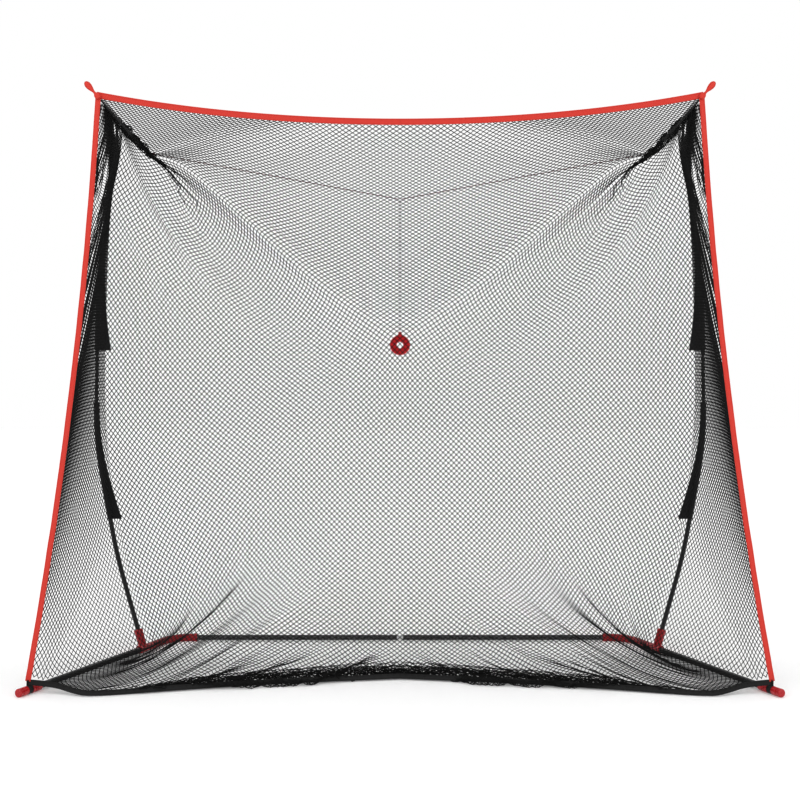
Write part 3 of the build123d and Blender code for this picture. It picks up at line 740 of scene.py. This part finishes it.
def sew_band(p, pinned, level):
    """The corner band is sewn along one slanting thread from each top corner."""
    count = BAND_KNOTS // level
    shares = np.linspace(0, 1, count + 1)[:, None]
    line = CORNER + (BAND_END + (0, 0, -0.012) - CORNER) * shares
    for k in range(1, count + 1):
        p[k, -1 - k] = line[k]
        p[k, k] = line[k] * MIRROR
        pinned[k, k] = pinned[k, -1 - k] = True


def side_edges(n_rows, n_cols):
    """Side trim, the seam down the pole, the pole's top part and the rail."""
    t = np.linspace(1, 0, n_rows)
    front = trim_line(t * 0.985 + 0.005) + np.array([0.0, 0.006, 0.0])
    rear = along(REAR_SEAM, BAND_HEEL + (1 - BAND_HEEL) * (1 - t))
    top = along(np.concatenate([[front[0]], along(REAR_SEAM, np.linspace(0.02, BAND_HEEL, 8))]),
                np.linspace(0, 1, n_cols))
    low = along([front[-1], at(1.470, 0.140, 0.036), rear[-1]], np.linspace(0, 1, n_cols))
    return top, low, front, rear


# ============================== twine ==============================
def thread_run(p, shift):
    """From the knot before to the knot after on the same thread, at every knot."""
    run = np.zeros_like(p)
    if shift == 1:
        step = p[1:, 1:] - p[:-1, :-1]
        run[:-1, :-1] += step
        run[1:, 1:] += step
    else:
        step = p[1:, :-1] - p[:-1, 1:]
        run[:-1, 1:] += step
        run[1:, :-1] += step
    return run


def twine(name, p, rows=None, columns=None):
    """Closed four-sided tubes along both diagonal families of a lattice, and a knot where they cross."""
    n_rows, n_cols = p.shape[:2]
    runs = {shift: thread_run(p, shift) for shift in (1, -1)}
    normal = unit(np.cross(runs[1], runs[-1]))
    top, bottom = rows or (0, n_rows - 1)
    first, last = columns or (0, n_cols - 1)
    i, j = np.meshgrid(np.arange(n_rows), np.arange(n_cols), indexing="ij")
    used = ((i + j) % 2 == 0) & (j >= first) & (j <= last) & (i >= top) & (i <= bottom)
    index = -np.ones((n_rows, n_cols), dtype=np.int64)
    index[used] = np.arange(used.sum())
    vertices, quads = [], []
    base = 0
    for shift in (1, -1):
        beside = unit(np.cross(unit(runs[shift]), normal))
        ring = np.stack([p + normal * TWINE_R, p + beside * TWINE_R,
                         p - normal * TWINE_R, p - beside * TWINE_R], axis=2)
        vertices.append(ring[used].reshape(-1, 3))
        a = index[:-1, :-1] if shift == 1 else index[:-1, 1:]
        b = index[1:, 1:] if shift == 1 else index[1:, :-1]
        ok = (a >= 0) & (b >= 0)
        a, b = a[ok] * 4 + base, b[ok] * 4 + base
        for k in range(4):
            n = (k + 1) % 4
            quads.append(np.stack([a + k, a + n, b + n, b + k], axis=1))
        base += 4 * int(used.sum())
    long = unit(runs[1] - runs[-1])[used] * KNOT_R
    wide = unit(runs[1] + runs[-1])[used] * KNOT_R
    corners, triangles = bead_mesh(p[used], long, wide, normal[used] * KNOT_R * 0.8, base)
    vertices.append(corners)
    return new_mesh(name, np.concatenate(vertices), np.concatenate(quads), "netting", triangles)


def blend_with_pole(piece):
    """Bakes the piece's placement into its points; it is not tied to the pole or the base."""
    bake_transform(piece)


def make_net():
    """Roof and back are one sheet, cut into a left and a right half, and each half into roof, upper back and
    lower back.
    """
    sheet = settle(main_edges, tensioned, ROWS, COLS, 3, sew_band)
    for side, columns in (("left", (0, COLS)), ("right", (COLS, 2 * COLS))):
        for name, (top, bottom) in CUTS.items():
            piece = twine(f"{name}_{side}_twine", sheet, (top, bottom), columns)
            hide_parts("net_roof" if name == "net_roof" else "net_back")
            blend_with_pole(piece)
    side_net = settle(side_edges, hung_in, SIDE_ROWS, SIDE_COLS, 5)
    for side, mirror in SIDES.items():
        piece = twine(f"net_side_{side}_twine", side_net * mirror)
        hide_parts(f"net_side_{side}")
        blend_with_pole(piece)


def make_hem_pile():
    """Spare netting that lies in small folds along the hem."""
    for side, mirror in SIDES.items():
        shares = np.linspace(0, PILE_END, 2 * PILE_COLS + 1)
        hem = hem_line(shares)
        taper = np.sqrt(np.clip(1 - (shares / PILE_END) ** 2, 0.01, 1))
        random = np.random.default_rng(21)
        drift = np.cumsum(random.normal(0, PILE_DRIFT, len(shares)))
        drift -= np.linspace(0, drift[-1], len(shares))
        layers = np.arange(2 * PILE_ROWS + 1)[:, None]
        folds = (layers * PILE_STEP + drift[None]) / PILE_FOLD
        back = np.abs((folds % 2) - 1)
        p = np.repeat(hem[None], len(layers), axis=0)
        p[..., 1] += 0.006 + back * PILE_FOLD * taper
        p[..., 2] = 0.008 + (layers / layers[-1]) * PILE_HEIGHT * taper + 0.012 * back * taper
        p += random.normal(0, PILE_UNEVEN, p.shape) * (1, 1, 0.7)
        p[..., 2] = np.maximum(p[..., 2], GROUND_CLEARANCE)
        if side == "right":     # the left half alone may reach over the middle
            p[..., 0] = np.maximum(p[..., 0], 0.0)
        piece = twine(f"net_hem_pile_{side}_twine", p * mirror)
        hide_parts("net_back")
        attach(piece, "root")


# ============================== cords ==============================
def laid_cord(name, path, radius, slot):
    """Three-strand cord along a path."""
    path = np.array(path, dtype=float)
    ahead, across, out = directions(path, CORD_FACING)
    travelled = np.concatenate([[0], np.cumsum(np.linalg.norm(np.diff(path, axis=0), axis=1))])
    angles = np.linspace(0, 2 * np.pi, 15, endpoint=False)
    strands = np.cos(3 * (angles[None] - travelled[:, None] * (2 * np.pi / CORD_LAY)))
    r = (radius * (0.93 + 0.07 * strands))[..., None]
    rings = path[:, None] + r * (np.cos(angles)[None, :, None] * across[:, None]
                                 + np.sin(angles)[None, :, None] * out[:, None])
    return loft(name, rings, slot)


def run_of(start, end):
    """Evenly spaced points from start to end."""
    count = int(np.linalg.norm(end - start) / CORD_STEP)
    return start + (end - start) * np.linspace(0, 1, count)[:, None]


def make_cords():
    """Two taut cords from the rear corners to the ring, tied there, and the cord that the target hangs on."""
    ring = np.array(RING)
    for side, mirror in SIDES.items():
        tie = CORD_TIE * mirror
        toward = unit(tie - ring)
        path = run_of(tie, ring + toward * RING_REACH)
        cord = laid_cord(f"target_cord_{side}_twist", path, CORD_R, "red_cord")
        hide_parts(f"target_cord_{side}")
        blend_with_pole(cord)
        turns = np.linspace(0, KNOT_TURNS * 2 * np.pi, 90)
        one = unit(np.cross(toward, (0, 0, 1)))
        two = np.cross(toward, one)
        coil = (tie - toward * 0.002 + np.outer(turns / turns[-1] * -KNOT_LENGTH, toward)
                + np.outer(np.cos(turns), one) * KNOT_COIL_R + np.outer(np.sin(turns), two) * KNOT_COIL_R)
        knot = laid_cord(f"cord_knot_{side}_wraps", coil, CORD_R, "red_cord")
        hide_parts(f"cord_knot_{side}")
        blend_with_pole(knot)
    low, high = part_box("drop_cord")
    top = np.array([RING.x, RING.y, high.z])
    path = run_of(top, np.array([RING.x, RING.y, low.z]))
    cord = laid_cord("drop_cord_twist", path, DROP_CORD_R, "elastic_cord")
    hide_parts("drop_cord")
    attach(cord, "target")


# ============================== webbing ==============================
def sewn_band(name, path, facing, size, rows, colour, seed, narrow=None, sewn=slice(None)):
    """Webbing along a path and its stitches, which run along the sewn part of it."""
    piece, middle = band(f"{name}_webbing", path, facing, size, f"{colour}_webbing", seed, narrow)
    return piece, stitching(f"{name}_stitches", middle[sewn], facing, rows, f"{colour}_thread")


def make_trims():
    """Red binding round the mouth: two halves of the top trim and one trim down each side."""
    top_facing = np.array([0.0, -1.0, -0.3])
    side_facing = np.array([0.35, -1.0, 0.0])
    for side, mirror in SIDES.items():
        shares = np.linspace(0.0, 1.004, 240)
        path = top_line(shares) * mirror
        piece, stitches = sewn_band(f"top_trim_{side}", path, top_facing, TRIM_BAND, TRIM_ROWS,
                                    "red", seed=11)
        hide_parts("top_trim")
        blend_with_pole(piece)
        blend_with_pole(stitches)
        path = trim_line(np.linspace(-0.004, 1.006, 240)) * mirror
        piece, stitches = sewn_band(f"side_trim_{side}", path, side_facing * mirror, TRIM_BAND, TRIM_ROWS,
                                    "red", seed=12)
        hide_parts(f"side_trim_{side}")
        blend_with_pole(piece)
        blend_with_pole(stitches)


# pocket over the pole's tip and pull loop beyond it: distance along, half width, half thickness
LOOP_SECTIONS = np.array([(0.000, 0.0080, 0.0080), (0.003, 0.0115, 0.0115), (0.010, 0.0128, 0.0128),
                          (0.018, 0.0126, 0.0122), (0.024, 0.0100, 0.0085), (0.029, 0.0058, 0.0040),
                          (0.036, 0.0045, 0.0034), (0.044, 0.0064, 0.0032), (0.054, 0.0100, 0.0036),
                          (0.066, 0.0128, 0.0046), (0.076, 0.0130, 0.0050), (0.083, 0.0112, 0.0044),
                          (0.089, 0.0070, 0.0030), (0.092, 0.0015, 0.0010)])
POCKET_END = 0.024
LOOP_GROOVE = 0.45       # how much thinner the loop is in its middle, as a share


def make_corner_loops():
    """A folded tab of red webbing at each top corner, to pull the corner over the pole's tip."""
    ahead = unit(np.array([0.66, -0.05, 0.75]))
    start = CORNER + (0.001, -0.002, 0.002) - ahead * 0.013
    across = unit(np.cross(ahead, (0.25, -1.0, 0.1)))
    out = np.cross(across, ahead)
    angles = np.linspace(0, 2 * np.pi, 20, endpoint=False)
    for side, mirror in SIDES.items():
        rings = []
        for distance, half, thick in LOOP_SECTIONS:
            depth = LOOP_GROOVE if distance > POCKET_END else 0.0
            groove = 1 - depth * np.exp(-(np.cos(angles) / 0.35) ** 2)
            ring = (start + ahead * distance + np.outer(np.cos(angles) * half, across)
                    + np.outer(np.sin(angles) * thick * groove, out))
            rings.append(ring * mirror)
        rings = np.array(rings)
        piece = loft(f"pull_loop_{side}_webbing", rings if side == "right" else rings[:, ::-1], "red_webbing")
        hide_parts(f"corner_loop_{side}")
        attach(piece, f"upright_{side}")
        for number, edge in enumerate((across, -across)):
            line = np.array([start + ahead * distance + edge * half * 0.72 + out * thick * 0.8
                             for distance, half, thick in LOOP_SECTIONS[6:-1]])
            stitches = stitching(f"pull_loop_{side}_stitches_{number}", line * mirror, out * mirror,
                                 LOOP_ROWS, "red_thread", pitch=0.004, long=0.0014)
            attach(stitches, f"upright_{side}")


def make_corner_bands():
    """Black seam webbing from the mouth's corner back to where the target cord is tied, with a tail."""
    facing = np.array([-0.35, -0.55, -1.0])
    tail = unit(np.array([-0.50, 0.16, -0.60]))
    for side, mirror in SIDES.items():
        path = rounded([CORNER + (-0.010, 0.006, -0.012), (CORNER + BAND_END) / 2 + (-0.004, 0, -0.014),
                        BAND_END + (0, 0, -0.006), BAND_END + tail * 0.025, BAND_END + tail * 0.060])
        narrow = np.interp(np.linspace(0, 1, len(path)), (0, 0.30, 0.55, 0.80, 1),
                           (0.30, 0.75, 1.0, 0.75, 0.2))
        piece, stitches = sewn_band(f"corner_band_{side}", path * mirror, facing * mirror, CORNER_BAND,
                                    CORNER_ROWS, "black", seed=13, narrow=narrow, sewn=slice(40, 130))
        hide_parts(f"corner_band_{side}")
        blend_with_pole(piece)
        blend_with_pole(stitches)


def make_hems():
    """Black binding across the mouth on the ground, and along the base of each side net."""
    half = hem_line(np.linspace(0, 1, 300))
    whole = np.concatenate([half[::-1] * MIRROR, half[1:]])
    whole[:, 2] = np.maximum(whole[:, 2] - 0.004, 0.0118)
    facing = np.array([0.0, -1.0, 0.35])
    piece, stitches = sewn_band("front_hem", whole, facing, FRONT_HEM_BAND, FRONT_HEM_ROWS, "black", seed=14)
    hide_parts("front_hem")
    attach(piece, "root")
    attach(stitches, "root")
    for side, mirror in SIDES.items():
        low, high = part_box(f"side_hem_{side}")
        front = np.array([max(abs(low.x), abs(high.x)), low.y, 0.022])
        rear = np.array([min(abs(low.x), abs(high.x)), high.y, 0.022])
        path = (front + np.linspace(0, 1, 80)[:, None] * (rear - front)) * mirror
        inward = np.array([1.0, 0.35, 0.0])
        piece, stitches = sewn_band(f"side_hem_{side}", path, inward * mirror, SIDE_HEM_BAND, SIDE_HEM_ROWS,
                                    "black", seed=15)
        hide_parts(f"side_hem_{side}")
        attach(piece, "root")
        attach(stitches, "root")


make_camera()
make_studio()
dress_cad_nodes()
make_cords()
make_net()
make_hem_pile()
make_trims()
make_corner_loops()
make_corner_bands()
make_hems()
